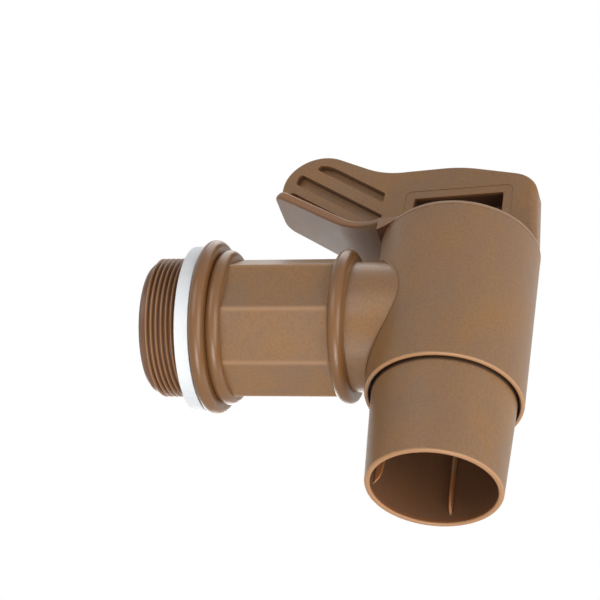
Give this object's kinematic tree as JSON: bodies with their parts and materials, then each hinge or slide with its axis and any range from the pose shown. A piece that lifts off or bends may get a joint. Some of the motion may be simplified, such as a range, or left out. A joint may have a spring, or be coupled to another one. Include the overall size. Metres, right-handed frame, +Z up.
{
  "type": "drum tap",
  "caption": "Quarter-turn plastic drum tap: threaded inlet with flange, washer and wrench section, upright barrel, hollow turning plug that is both handle and spout.",
  "frame": {"origin": "centre of the washer's sealing face on the inlet axis, so the drum's face lies in the plane X = 0", "axes": "+Z up along the barrel, the threaded inlet points to -X, the barrel stands on the +X side"},
  "size_m": [0.1648, 0.076, 0.1815],
  "materials": {
    "tan_plastic": "moulded polyethylene, soft gloss",
    "white_plastic": "soft white polyethylene, satin"
  },
  "bodies": {
    "tap_body": {"body": "tan_plastic", "washer": "white_plastic"},
    "tap_plug": {"plug": "tan_plastic"}
  },
  "joints": [
    {"name": "plug_turn", "type": "hinge", "parent": "tap_body", "child": "tap_plug", "pos_m": [0.1119, 0, 0], "axis": [0, 0, 1], "range_deg": [-85, 95]}
  ]
}
